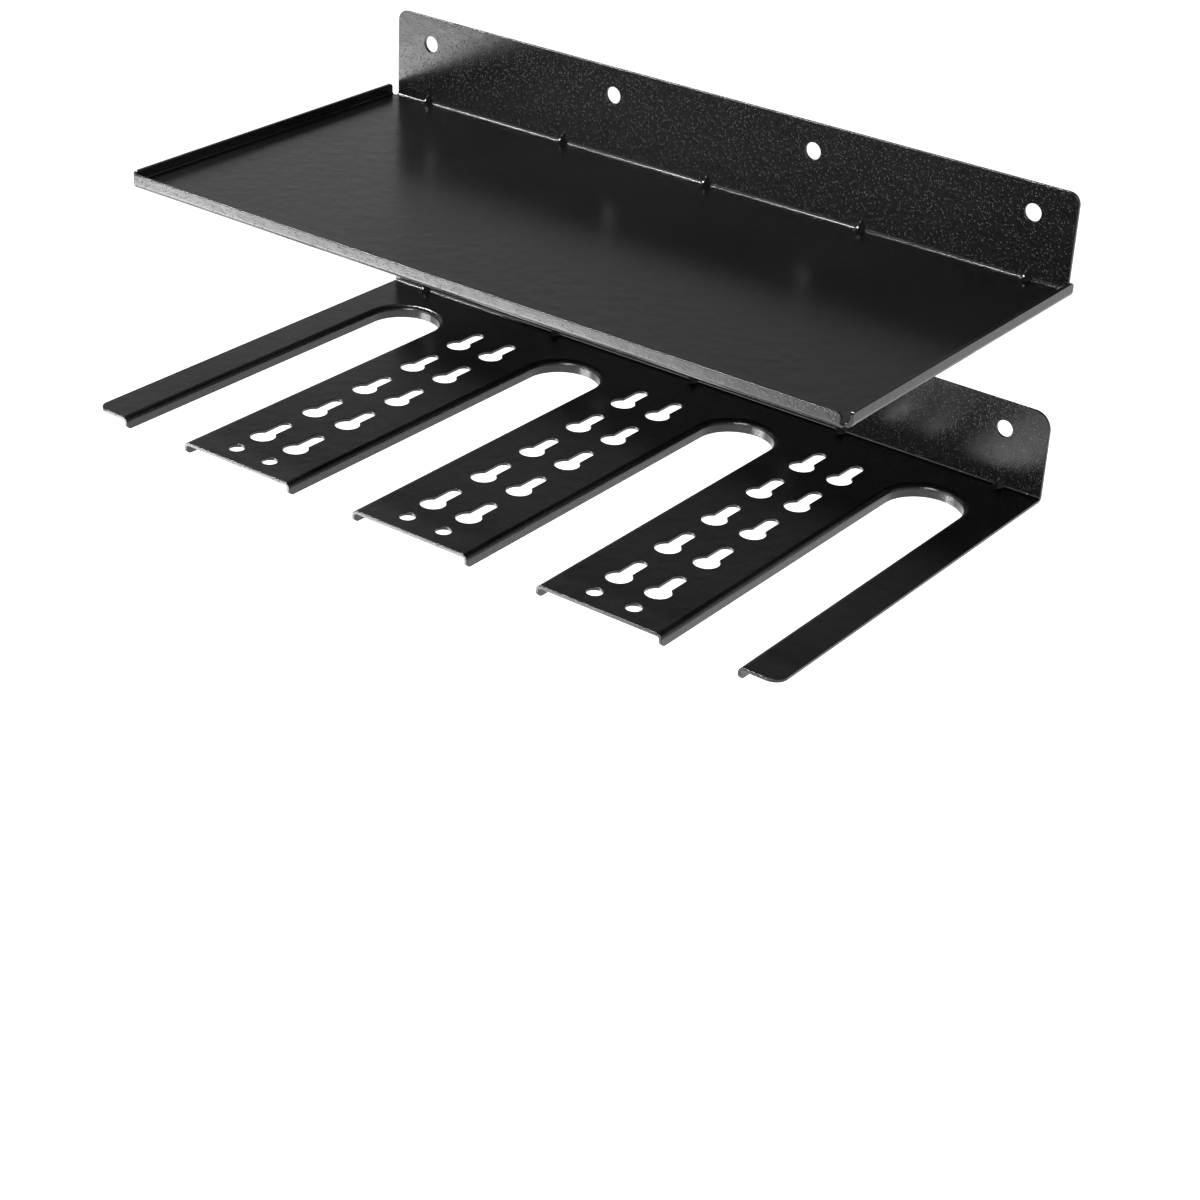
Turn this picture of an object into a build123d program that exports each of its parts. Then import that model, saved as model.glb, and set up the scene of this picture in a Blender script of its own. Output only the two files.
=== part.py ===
from build123d import *
import os
from math import sqrt

# A wall organizer of two folded steel sheets: an upper shelf and a lower rack for power tools.
# X runs along the wall, +Y points into the wall and +Z up. The wall is the plane Y = 0.
# The origin is the middle of the upper shelf's row of wall holes, on the wall.

os.makedirs("parts", exist_ok=True)

# Steel sheet, the same for both pieces
sheet = 1.8                    # thickness of the coated sheet
bend_inner = 1.2               # inside radius of every fold
edge_round = 0.35              # soft edge that the coat leaves on a cut edge
overrun = 5.0                  # how far a cutting body runs past the sheet

# Row of wall holes in each wall flange
wall_hole_count = 4
wall_hole_diameter = 9.0
wall_hole_drop = 15.0          # from the flange's top edge down to the row
row_drop = 114.0               # from the upper row of wall holes down to the lower row

# Darts pressed into the fold between plate and flange
dart_count = 5
dart_rise = 6.0                # from the plate up to the dart's tip on the flange
dart_width = 7.4               # at the root of the fold
dart_ridge_round = 0.9

# Upper shelf, a shallow tray
shelf_width = 430.0
shelf_depth = 206.0            # from the wall to the front lip's outer face
shelf_flange_inset = 4.0       # from a side lip's outer face in to the flange's side edge
shelf_flange_height = 50.0     # from the plate's underside
shelf_flange_corner = 6.0
shelf_hole_inset = 23.5        # from the flange's side edge to the last wall hole
shelf_dart_inset = 22.4        # from the flange's side edge to the last dart
lip_height = 7.5               # from the plate's underside
lip_corner = 2.0
lip_relief = 0.8               # open gap in the plate's corners, beside the folds

# Lower rack, a plate with open slots
rack_width = 424.0
rack_depth = 238.0             # from the wall to the front edge
rack_flange_height = 48.0      # from the plate's underside
rack_flange_corner = 9.5
rack_front_corner = 7.0        # outer front corners in plan
rack_hole_inset = 24.5
rack_dart_inset = 23.4

# Slots that hold power tools, open at the front, with their edges folded down
slot_count = 4
slot_clear = 41.0              # between the folded edges
slot_side_band = 22.0          # from the plate's side edge to the first slot
slot_setback = 24.5            # from the wall to the slot's round end
slot_skirt = 7.0               # from the plate's top to the folded edge's lower rim
slot_skirt_corner = 3.5        # lower front corners of the folded edges

# Keyholes and round holes in the tongues between the slots
column_spacing = 22.5
keyhole_rows = 5
keyhole_setback = 50.5         # from the wall to the first row's round parts
keyhole_front_setback = 31.5   # from the front edge to the last row's round parts
keyhole_round = 13.0           # diameter of the round part
keyhole_narrow = 7.0           # width of the narrow part
keyhole_reach = 20.0           # from the round part's centre to the narrow part's tip
front_hole_diameter = 8.0
front_hole_setback = 12.5      # from the front edge

# Sizes that follow from the ones above
fold_mid = bend_inner + sheet / 2
fold_outer = bend_inner + sheet
shelf_flange_top = wall_hole_drop
shelf_plate_top = shelf_flange_top - shelf_flange_height + sheet
rack_flange_top = wall_hole_drop - row_drop
rack_plate_top = rack_flange_top - rack_flange_height + sheet
shelf_flange_width = shelf_width - 2 * shelf_flange_inset
slot_round_centre = -slot_setback - slot_clear / 2
crisp_turn = 40.0              # least turn, in degrees, between two faces at a crisp edge


def spread(count, width, inset):
    """Places of a row of like features across a width, centred on zero, with an inset at both ends."""
    pitch = (width - 2 * inset) / (count - 1)
    return [pitch * (index - (count - 1) / 2) for index in range(count)]


def crisp_edges(part):
    """Edges where two faces meet at an outward corner, as a cut or sheared edge does."""
    sides = {}
    for face in part.faces():
        for edge in face.edges():
            sides.setdefault(edge, []).append(face)
    crisp = []
    for edge, pair in sides.items():
        if len(pair) != 2:
            continue
        middle = edge @ 0.5
        first, second = (face.normal_at(middle) for face in pair)
        if first.get_angle(second) < crisp_turn:
            continue
        beyond = middle + (first + second).normalized() * (edge_round / 2)
        if not part.is_inside(beyond):
            crisp.append(edge)
    return crisp


# Dart and the hollow behind it: a rounded V ridge at 45 degrees across a fold.
# The root of the fold is the origin, with the flange on Y = 0 and the plate's top on Z = 0.
dart_depth = dart_rise / sqrt(2)
dart_reach = dart_rise + sheet
hollow_foot = -sheet * sqrt(2) - overrun
across_fold = Plane(origin=(0, 0, 0), x_dir=(1, 0, 0), z_dir=(0, -1, -1))


def ridge_points(tip, foot):
    """V section across the ridge, its tip and foot measured from the root towards the room."""
    half = dart_width / 2 * (tip - foot) / dart_depth
    return [(-half, foot), (0, tip), (half, foot)]


with BuildPart() as dart:
    with BuildSketch(across_fold):
        with BuildLine():
            FilletPolyline(*ridge_points(dart_depth, -sheet), radius=[0, dart_ridge_round, 0], close=True)
        make_face()
    extrude(amount=dart_reach, both=True)
    with Locations((0, sheet / 2, -sheet / 2)):
        Box(dart_width * 2, dart_reach, dart_reach, align=(Align.CENTER, Align.MAX, Align.MIN),
            mode=Mode.INTERSECT)

with BuildPart() as dart_hollow:
    with BuildSketch(across_fold):
        with BuildLine():
            FilletPolyline(
                *ridge_points(dart_depth - sheet, hollow_foot), radius=[0, dart_ridge_round, 0], close=True)
        make_face()
    extrude(amount=dart_reach + overrun, both=True)


# Upper shelf: wall flange, plate and front lip are one folded strip, with a lip on each side
shelf_plate_mid = shelf_plate_top - sheet / 2
lip_top = shelf_plate_top - sheet + lip_height
side_lip_setback = fold_outer + lip_relief
front_lip_mid = -shelf_depth + sheet / 2
side_lip_mid = shelf_width / 2 - sheet / 2

with BuildPart() as side_lips:
    with BuildSketch(Plane.XZ.offset(side_lip_setback)):
        with BuildLine():
            FilletPolyline(
                (-side_lip_mid, lip_top),
                (-side_lip_mid, shelf_plate_mid),
                (side_lip_mid, shelf_plate_mid),
                (side_lip_mid, lip_top),
                radius=fold_mid)
        trace(line_width=sheet)
    extrude(amount=shelf_depth - 2 * side_lip_setback)
    fillet(side_lips.edges().filter_by(Axis.X).group_by(Axis.Z)[-1], lip_corner)

with BuildPart() as upper_shelf:
    with BuildSketch(Plane.YZ):
        with BuildLine():
            FilletPolyline(
                (-sheet / 2, shelf_flange_top),
                (-sheet / 2, shelf_plate_mid),
                (front_lip_mid, shelf_plate_mid),
                (front_lip_mid, lip_top),
                radius=fold_mid)
        trace(line_width=sheet)
    extrude(amount=shelf_flange_width / 2, both=True)
    fillet(upper_shelf.edges().filter_by(Axis.Y).group_by(Axis.Z)[-1], shelf_flange_corner)
    fillet(upper_shelf.edges().filter_by(Axis.Y).group_by(Axis.Y)[0], lip_corner)
    add(side_lips.part)
    with BuildSketch(Plane.XZ):
        with Locations(*[(x, 0) for x in spread(wall_hole_count, shelf_flange_width, shelf_hole_inset)]):
            Circle(wall_hole_diameter / 2)
    extrude(amount=sheet + overrun, both=True, mode=Mode.SUBTRACT)
    fillet(crisp_edges(upper_shelf.part), edge_round)
    shelf_darts = spread(dart_count, shelf_flange_width, shelf_dart_inset)
    with Locations(*[(x, -sheet, shelf_plate_top) for x in shelf_darts]):
        add(dart.part)
        add(dart_hollow.part, mode=Mode.SUBTRACT)

upper_shelf.part.label = "upper_shelf"
export_step(upper_shelf.part, "parts/upper_shelf.step")


# Folded edge of one slot: the plate rolls down into a skirt along both sides and round the back
rack_plate_mid = rack_plate_top - sheet / 2
slot_side = slot_clear / 2
skirt_mid = slot_side + sheet / 2

with BuildPart() as slot_edge:
    with BuildLine() as slot_rim:
        right_side = Line((slot_side, -rack_depth), (slot_side, slot_round_centre))
        round_end = ThreePointArc(right_side @ 1, (0, -slot_setback), (-slot_side, slot_round_centre))
        Line(round_end @ 1, (-slot_side, -rack_depth))
    with BuildSketch(Plane.XZ.offset(rack_depth)):
        with BuildLine():
            FilletPolyline(
                (slot_side + fold_outer + sheet, rack_plate_mid),
                (skirt_mid, rack_plate_mid),
                (skirt_mid, rack_plate_top - slot_skirt),
                radius=fold_mid)
        trace(line_width=sheet)
    sweep(path=slot_rim.line)
    fillet(slot_edge.edges().filter_by(Axis.X).group_by(Axis.Z)[0], slot_skirt_corner)


# Lower rack: wall flange and plate are one folded strip, cut by slots, keyholes and round holes
slot_places = spread(slot_count, rack_width, slot_side_band + slot_side)
tongue_places = [(left + right) / 2 for left, right in zip(slot_places, slot_places[1:])]
column_places = [tongue + side * column_spacing / 2 for tongue in tongue_places for side in (-1, 1)]
keyhole_pitch = (rack_depth - keyhole_setback - keyhole_front_setback) / (keyhole_rows - 1)
row_places = [-keyhole_setback - keyhole_pitch * row for row in range(keyhole_rows)]
narrow_run = keyhole_reach - keyhole_narrow / 2

with BuildPart() as lower_rack:
    with BuildSketch(Plane.YZ):
        with BuildLine():
            FilletPolyline(
                (-sheet / 2, rack_flange_top),
                (-sheet / 2, rack_plate_mid),
                (-rack_depth, rack_plate_mid),
                radius=fold_mid)
        trace(line_width=sheet)
    extrude(amount=rack_width / 2, both=True)
    fillet(lower_rack.edges().filter_by(Axis.Y).group_by(Axis.Z)[-1], rack_flange_corner)
    fillet(lower_rack.edges().filter_by(Axis.Z).group_by(Axis.Y)[0], rack_front_corner)
    with BuildSketch(Plane.XZ):
        rack_holes = spread(wall_hole_count, rack_width, rack_hole_inset)
        with Locations(*[(x, -row_drop) for x in rack_holes]):
            Circle(wall_hole_diameter / 2)
    extrude(amount=sheet + overrun, both=True, mode=Mode.SUBTRACT)

    with BuildSketch(Plane.XY.offset(rack_plate_top)):
        with Locations(*[(x, slot_round_centre) for x in slot_places]):
            Circle(slot_side + fold_outer)
            Rectangle(slot_clear + 2 * fold_outer, rack_depth, align=(Align.CENTER, Align.MAX))
    extrude(amount=-sheet - overrun, mode=Mode.SUBTRACT)
    with Locations(*[(x, 0) for x in slot_places]):
        add(slot_edge.part)

    with BuildSketch(Plane.XY.offset(rack_plate_top)):
        with Locations(*[(x, y) for x in column_places for y in row_places]):
            Circle(keyhole_round / 2)
            with Locations((0, narrow_run / 2)):
                SlotCenterToCenter(narrow_run, keyhole_narrow, rotation=90)
        with Locations(*[(x, -rack_depth + front_hole_setback) for x in column_places]):
            Circle(front_hole_diameter / 2)
    extrude(amount=-sheet - overrun, mode=Mode.SUBTRACT)
    fillet(crisp_edges(lower_rack.part), edge_round)
    rack_darts = spread(dart_count, rack_width, rack_dart_inset)
    with Locations(*[(x, -sheet, rack_plate_top) for x in rack_darts]):
        add(dart.part)
        add(dart_hollow.part, mode=Mode.SUBTRACT)

lower_rack.part.label = "lower_rack"
export_step(lower_rack.part, "parts/lower_rack.step")
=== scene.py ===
from math import cos, radians, sin

import bpy
import numpy as np
from mathutils import Matrix, Vector


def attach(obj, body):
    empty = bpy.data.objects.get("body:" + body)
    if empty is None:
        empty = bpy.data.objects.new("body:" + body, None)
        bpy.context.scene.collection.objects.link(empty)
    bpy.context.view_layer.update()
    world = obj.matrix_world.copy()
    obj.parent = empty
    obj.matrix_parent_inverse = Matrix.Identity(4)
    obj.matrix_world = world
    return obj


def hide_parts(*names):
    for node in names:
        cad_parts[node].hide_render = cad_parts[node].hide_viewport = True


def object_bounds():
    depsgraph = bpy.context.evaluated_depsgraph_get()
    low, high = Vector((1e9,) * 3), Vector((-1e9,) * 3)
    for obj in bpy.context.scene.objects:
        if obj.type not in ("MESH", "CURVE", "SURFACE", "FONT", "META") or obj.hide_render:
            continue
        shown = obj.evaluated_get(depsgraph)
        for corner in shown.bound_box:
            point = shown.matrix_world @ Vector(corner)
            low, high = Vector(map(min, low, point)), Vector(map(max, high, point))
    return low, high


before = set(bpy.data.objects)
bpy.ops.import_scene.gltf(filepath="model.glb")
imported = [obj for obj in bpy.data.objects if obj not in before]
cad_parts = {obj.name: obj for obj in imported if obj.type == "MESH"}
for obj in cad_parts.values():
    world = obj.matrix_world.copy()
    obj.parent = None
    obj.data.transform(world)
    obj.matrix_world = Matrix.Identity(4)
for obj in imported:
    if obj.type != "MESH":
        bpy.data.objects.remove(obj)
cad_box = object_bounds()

# Upper shelf: one sheet of steel, cut flat and folded on a press brake into a shallow tray with a flange
# for the wall. It is dusted with black powder and baked, so the coat wraps every cut edge and keeps a
# fine sandy grain.
GRAIN_SIZE = 0.0011          # metres between the coat's sand grains
GRAIN_CORE = 0.10            # radius of a grain's top, and of its foot, as shares of that distance
GRAIN_FOOT = 0.42
LEVEL_SAND = 0.35            # how much of the sand shows on level faces, where the powder flows out
# painted sheen: upright faces get this share of the pale grain colour even between the grains
GROUND_SHEEN = 0.06          # share of the pale colour between the grains of an upright face
PEEL_SIZE = 0.007            # metres across the slow waves of the melted powder
PEEL_DETAIL = 1.0            # finer layers in those waves
CLOUD_SIZE = 0.085           # metres across the patches where the coat lies thicker
CLOUD_DETAIL = 3.0           # finer layers in those patches
CLOUD_START = 0.35           # noise at which a patch starts, and at which it is full
CLOUD_FULL = 0.65
# The pale colour is partly a painted glint: grains on upright faces are made pale where light would catch
# them.
COAT_DEEP = (0.0006, 0.0006, 0.0007, 1)    # the coat at its darkest, and on the palest grains
COAT_PALE_GLINT = (0.038, 0.038, 0.039, 1)
COAT_RELIEF = 0.0001         # metres from the foot of a full grain to its top
SHELF_GLOSS = (0.20, 0.25)   # roughness of the coat outside the patches and in them
FOLD_TURN = radians(50)      # folds turn by less than this from facet to facet, cut edges by more
PLACE_STEP = 1e-6            # corners of triangles that lie closer than this are one point
PLANE_STEP = 2e-5            # triangles whose planes lie closer than this are one flat face
TILT_STEP = 2e-3             # and so are those whose directions differ by less than this


def flat_faces(points, triangles):
    """Sorts triangles by the plane that they lie in.

    A plane is a direction and its distance from the origin, both rounded to a step. Returns each triangle's
    direction and the number of its plane, and each plane's direction and whole area.
    """
    first, second, third = (points[triangles[:, corner]] for corner in range(3))
    cross = np.cross(second - first, third - first)
    length = np.linalg.norm(cross, axis=1)
    direction = cross / np.maximum(length, np.finfo(float).tiny)[:, None]
    offset = (direction * first).sum(axis=1)
    rounded = np.round(np.column_stack((direction / TILT_STEP, offset / PLANE_STEP))).astype(np.int64)
    plane = np.unique(rounded, axis=0, return_inverse=True)[1].ravel()
    area = np.bincount(plane, length / 2)
    total = np.column_stack([np.bincount(plane, cross[:, axis]) for axis in range(3)])
    plane_direction = total / np.maximum(np.linalg.norm(total, axis=1), np.finfo(float).tiny)[:, None]
    return direction, plane, plane_direction, area


def shading_normals(points, triangles):
    """Normals for the corners of the triangles, so that wide faces look flat and folds look round.

    A corner's normal is the sum of the directions of the planes that meet in its point, each times that
    plane's area. Planes that turn by more than a fold's turn from the corner's own triangle don't count.
    """
    direction, plane, plane_direction, area = flat_faces(points, triangles)
    point = triangles.ravel()
    own = np.repeat(direction, 3, axis=0)
    pairs = np.unique(point * len(area) + np.repeat(plane, 3))
    pair_point, pair_plane = np.divmod(pairs, len(area))
    start = np.searchsorted(pair_point, point)
    stop = np.searchsorted(pair_point, point, side="right")
    normal = np.zeros_like(own)
    for step in range((stop - start).max()):
        met = pair_plane[np.minimum(start + step, len(pairs) - 1)]
        near = (own * plane_direction[met]).sum(axis=1) > cos(FOLD_TURN)
        weight = area[met] * (near & (start + step < stop))
        normal += plane_direction[met] * weight[:, None]
    return normal / np.maximum(np.linalg.norm(normal, axis=1), np.finfo(float).tiny)[:, None]


def coated_sheet(source, name, coat):
    """Makes a closed copy of one folded sheet, with its coat, from the loose triangles of the CAD solid.

    Corners that share a place become one point. The shape stays as it is, and only the shading is new. Each
    corner also gets its share of uprightness, 0 on a level face and 1 on a wall, for the coat to read.
    """
    corner = np.empty(len(source.data.loops), np.int32)
    source.data.loops.foreach_get("vertex_index", corner)
    place = np.empty(len(source.data.vertices) * 3, np.float32)
    source.data.vertices.foreach_get("co", place)
    place = place.reshape(-1, 3).astype(float)
    steps = np.round(place / PLACE_STEP).astype(np.int64)
    kept, shared = np.unique(steps, axis=0, return_index=True, return_inverse=True)[1:]
    triangles = shared.ravel()[corner].reshape(-1, 3)
    whole = (triangles != np.roll(triangles, 1, axis=1)).all(axis=1)
    points, triangles = place[kept], triangles[whole].astype(np.int64)
    mesh = bpy.data.meshes.new(name)
    mesh.from_pydata(points, [], triangles)
    mesh.polygons.foreach_set("use_smooth", np.ones(len(triangles), bool))
    normals = shading_normals(points, triangles)
    mesh.normals_split_custom_set(normals)
    upright = mesh.attributes.new("upright", "FLOAT", "CORNER")
    upright.data.foreach_set("value", 1 - np.abs(normals[:, 2]))
    mesh.materials.append(coat)
    sheet = bpy.data.objects.new(name, mesh)
    bpy.context.scene.collection.objects.link(sheet)
    return sheet


def socket(group, name, way, kind):
    """Adds one named input or output to a node group."""
    return group.interface.new_socket(name=name, in_out=way, socket_type=kind)


def node(tree, kind, **values):
    """Adds a node to a tree and sets its own settings."""
    made = tree.nodes.new(kind)
    for key, value in values.items():
        setattr(made, key, value)
    return made


def set_inputs(made, **values):
    """Sets a node's inputs by their names, with a low line for each space, and returns the node."""
    for key, value in values.items():
        made.inputs[key.replace("_", " ")].default_value = value
    return made


def noise(tree, place, size, detail):
    """Three-dimensional noise whose lumps are about one size across, with finer layers over them."""
    made = set_inputs(node(tree, "ShaderNodeTexNoise"), Scale=1 / size, Detail=detail)
    tree.links.new(place, made.inputs["Vector"])
    return made.outputs["Fac"]


def stretch(tree, value, low, high, to_low=0.0, to_high=1.0):
    """Stretches the range low to high of a value to another range, and cuts it off outside."""
    made = set_inputs(
        node(tree, "ShaderNodeMapRange"), From_Min=low, From_Max=high, To_Min=to_low, To_Max=to_high)
    tree.links.new(value, made.inputs["Value"])
    return made.outputs["Result"]


def combine(tree, step, first, second):
    """Combines two values, or a value and a number, with one arithmetic step."""
    made = node(tree, "ShaderNodeMath", operation=step)
    for place, value in enumerate((first, second)):
        if isinstance(value, (int, float)):
            made.inputs[place].default_value = value
        else:
            tree.links.new(value, made.inputs[place])
    return made.outputs[0]


def powder_grain():
    """Grains, peel and clouds of a baked powder coat.

    A grain is round, one in each cell, and rises evenly from its foot to a top of its own height. Peel is
    the slow waves of the melted powder, and clouds are wide patches where the coat lies thicker.
    """
    group = bpy.data.node_groups.new("powder_grain", "ShaderNodeTree")
    socket(group, "Place", "INPUT", "NodeSocketVector")
    for name in ("Grain", "Peel", "Cloud"):
        socket(group, name, "OUTPUT", "NodeSocketFloat")
    place = group.nodes.new("NodeGroupInput").outputs["Place"]
    end = group.nodes.new("NodeGroupOutput")
    cells = set_inputs(node(group, "ShaderNodeTexVoronoi"), Scale=1 / GRAIN_SIZE)
    group.links.new(place, cells.inputs["Vector"])
    cone = stretch(group, cells.outputs["Distance"], GRAIN_CORE, GRAIN_FOOT, 1.0, 0.0)
    height = node(group, "ShaderNodeSeparateXYZ")
    group.links.new(cells.outputs["Color"], height.inputs["Vector"])
    grains = combine(group, "MULTIPLY", cone, height.outputs["X"])
    group.links.new(grains, end.inputs["Grain"])
    group.links.new(noise(group, place, PEEL_SIZE, PEEL_DETAIL), end.inputs["Peel"])
    cloud = stretch(group, noise(group, place, CLOUD_SIZE, CLOUD_DETAIL), CLOUD_START, CLOUD_FULL)
    group.links.new(cloud, end.inputs["Cloud"])
    return group


def powder_coat(name, grain, gloss):
    """Satin black powder coat.

    Its colour runs from deep to pale with the grains, fully on upright faces and not at all on level ones.
    That pale is partly the sand's own colour and partly a painted glint, put only on upright faces where
    light catches the grains.
    Its roughness runs between the two values of gloss with the clouds. Grains and peel raise its surface.
    """
    material = bpy.data.materials.new(name)
    material.use_nodes = True
    tree = material.node_tree
    coat = tree.nodes["Principled BSDF"]
    pattern = node(tree, "ShaderNodeGroup", node_tree=grain)
    tree.links.new(node(tree, "ShaderNodeTexCoord").outputs["Object"], pattern.inputs["Place"])
    colour = set_inputs(node(tree, "ShaderNodeMix", data_type="RGBA"), A=COAT_DEEP, B=COAT_PALE_GLINT)
    upright = node(tree, "ShaderNodeAttribute", attribute_name="upright").outputs["Fac"]
    shown = stretch(tree, upright, 0, 1, LEVEL_SAND, 1)
    sand = combine(tree, "MULTIPLY", pattern.outputs["Grain"], shown)
    # Painted glint: the pale grain colour goes on upright faces only, standing in for the light that the
    # grains catch there.
    painted_glint = combine(tree, "MULTIPLY", stretch(tree, sand, 0, 1, GROUND_SHEEN, 1), upright)
    tree.links.new(painted_glint, colour.inputs["Factor"])
    tree.links.new(colour.outputs["Result"], coat.inputs["Base Color"])
    tree.links.new(stretch(tree, pattern.outputs["Cloud"], 0, 1, *gloss), coat.inputs["Roughness"])
    relief = set_inputs(node(tree, "ShaderNodeBump"), Strength=1.0, Distance=COAT_RELIEF)
    tree.links.new(combine(tree, "ADD", sand, pattern.outputs["Peel"]), relief.inputs["Height"])
    tree.links.new(relief.outputs["Normal"], coat.inputs["Normal"])
    return material


grain = powder_grain()
shelf_coat = powder_coat("shelf_powder_coat", grain, SHELF_GLOSS)
shelf = coated_sheet(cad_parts["upper_shelf"], "upper_shelf_coated", shelf_coat)
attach(shelf, "root")
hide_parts("upper_shelf")

# Lower rack: a second sheet, punched with slots, keyholes and round holes before it is folded.
# The edges of its slots are rolled down, and it has the same coat from the same oven, a little more matt.
RACK_GLOSS = (0.21, 0.26)
rack_coat = powder_coat("rack_powder_coat", grain, RACK_GLOSS)
rack = coated_sheet(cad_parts["lower_rack"], "lower_rack_coated", rack_coat)
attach(rack, "root")
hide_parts("lower_rack")

# Floor: a pale studio floor, far below the brackets, because they hang on a wall.
# The camera and the coat see it as white, and it keeps a faint shadow.
FLOOR_DROP = 1.1             # metres from the origin down to the floor, and from its middle to its sides
FLOOR_REACH = 14.0
FLOOR_TINT = 0.86            # grey tone of its paper, how matt it is, and how much it glows by itself
FLOOR_MATT = 0.9
FLOOR_GLOW = 0.6
floor_mesh = bpy.data.meshes.new("floor")
floor_corners = np.array([(-1, -1), (1, -1), (1, 1), (-1, 1)]) * FLOOR_REACH
floor_mesh.from_pydata([(x, y, -FLOOR_DROP) for x, y in floor_corners], [], [(0, 1, 2, 3)])
floor = bpy.data.objects.new("floor", floor_mesh)
bpy.context.scene.collection.objects.link(floor)
paper = bpy.data.materials.new("floor_paper")
paper.use_nodes = True
paper_tree = paper.node_tree
paper_base = paper_tree.nodes["Principled BSDF"]
set_inputs(paper_base, Base_Color=(FLOOR_TINT, FLOOR_TINT, FLOOR_TINT, 1), Roughness=FLOOR_MATT)


def seen_directly(tree):
    """1 for rays that come from the camera or from a glossy or clear surface, and 0 for the rest."""
    path = node(tree, "ShaderNodeLightPath")
    seen = combine(tree, "MAXIMUM", path.outputs["Is Camera Ray"], path.outputs["Is Glossy Ray"])
    return combine(tree, "MAXIMUM", seen, path.outputs["Is Transmission Ray"])


glow = set_inputs(node(paper_tree, "ShaderNodeEmission"), Color=(1, 1, 1, 1))
glow_strength = combine(paper_tree, "MULTIPLY", seen_directly(paper_tree), FLOOR_GLOW)
paper_tree.links.new(glow_strength, glow.inputs["Strength"])
paper_sum = node(paper_tree, "ShaderNodeAddShader")
paper_tree.links.new(paper_base.outputs[0], paper_sum.inputs[0])
paper_tree.links.new(glow.outputs[0], paper_sum.inputs[1])
paper_tree.links.new(paper_sum.outputs[0], paper_tree.nodes["Material Output"].inputs["Surface"])
floor_mesh.materials.append(paper)

# Studio light: a white backdrop all round, a dim ceiling over it, and soft boxes round the brackets.
# Each box is aimed at the middle of the pair, and no box shows to the camera.
ROOM_LIGHT = 0.5             # strength of the room where it lights the coat's colour
CEILING_TONE = 0.04          # strength of the ceiling where the coat mirrors it
BACKDROP_TOP = 0.10          # sine of the height at which the backdrop ends
CEILING_START = 0.50         # and of the height from which the ceiling is dim
world = bpy.data.worlds.new("white_room")
bpy.context.scene.world = world
world.use_nodes = True
room_tree = world.node_tree
room = set_inputs(room_tree.nodes["Background"], Color=(1, 1, 1, 1))
heading = node(room_tree, "ShaderNodeSeparateXYZ")
room_tree.links.new(node(room_tree, "ShaderNodeTexCoord").outputs["Generated"], heading.inputs["Vector"])
mirrored = stretch(room_tree, heading.outputs["Z"], BACKDROP_TOP, CEILING_START, 1.0, CEILING_TONE)
room_path = node(room_tree, "ShaderNodeLightPath")
mirrored = combine(room_tree, "MULTIPLY", mirrored, room_path.outputs["Is Glossy Ray"])
plain = combine(
    room_tree, "MAXIMUM", room_path.outputs["Is Camera Ray"], room_path.outputs["Is Transmission Ray"])
direct = combine(room_tree, "MAXIMUM", plain, mirrored)
unseen = combine(room_tree, "SUBTRACT", 1.0, seen_directly(room_tree))
room_strength = combine(room_tree, "ADD", direct, combine(room_tree, "MULTIPLY", unseen, ROOM_LIGHT))
room_tree.links.new(room_strength, room.inputs["Strength"])
ALONG_WALL = Vector((1, 0, 0))
middle = (cad_box[0] + cad_box[1]) / 2


def soft_box(name, place, width, height, watts):
    """A rectangular area lamp, turned towards the middle of the brackets.

    Its width lies along the wall, as nearly as that turn lets it.
    """
    lamp = bpy.data.lights.new(name, "AREA")
    lamp.shape = "RECTANGLE"
    lamp.size = width
    lamp.size_y = height
    lamp.energy = watts
    box = bpy.data.objects.new(name, lamp)
    bpy.context.scene.collection.objects.link(box)
    away = (Vector(place) - middle).normalized()
    wide = (ALONG_WALL - away * away.dot(ALONG_WALL)).normalized()
    turn = Matrix((wide, away.cross(wide), away)).transposed().to_4x4()
    box.matrix_world = Matrix.Translation(place) @ turn
    box.visible_camera = False


soft_box("wall_strip_box", place=(-0.92, 0.00, 1.45), width=1.1, height=0.12, watts=90)
soft_box("front_box", place=(0.50, -1.90, 0.60), width=1.0, height=0.8, watts=34)
soft_box("front_fill_box", place=(-1.00, -1.50, 0.10), width=0.8, height=0.5, watts=6)
soft_box("front_low_box", place=(-0.93, -1.03, -0.74), width=0.72, height=0.55, watts=14)

# Camera: it stands to the right of the brackets and above them, as in the photograph.
# Its place is given by its direction and distance from the point that it looks at, and its roll turns it.
CAMERA_AZIMUTH = radians(35.512)
CAMERA_ELEVATION = radians(29.025)
CAMERA_ROLL = radians(2.870)
CAMERA_DISTANCE = 1.403584   # metres from the point that it looks at
CAMERA_AIM = Vector((0.001201, -0.080, -0.247730))
CAMERA_LENS = 78.20          # millimetres, as is the width of its sensor
SENSOR_WIDTH = 36.0
back = Vector((
    sin(CAMERA_AZIMUTH) * cos(CAMERA_ELEVATION),
    -cos(CAMERA_AZIMUTH) * cos(CAMERA_ELEVATION),
    sin(CAMERA_ELEVATION)))
level_right = Vector((cos(CAMERA_AZIMUTH), sin(CAMERA_AZIMUTH), 0))
level_up = back.cross(level_right)
right = level_right * cos(CAMERA_ROLL) + level_up * sin(CAMERA_ROLL)
up = level_up * cos(CAMERA_ROLL) - level_right * sin(CAMERA_ROLL)
eye = CAMERA_AIM + back * CAMERA_DISTANCE
lens = bpy.data.cameras.new("camera")
lens.lens = CAMERA_LENS
lens.sensor_width = SENSOR_WIDTH
camera = bpy.data.objects.new("camera", lens)
bpy.context.scene.collection.objects.link(camera)
turned = Matrix((right, up, back)).transposed().to_4x4()
camera.matrix_world = Matrix.Translation(eye) @ turned
bpy.context.scene.camera = camera
bpy.context.scene.view_settings.view_transform = "Standard"
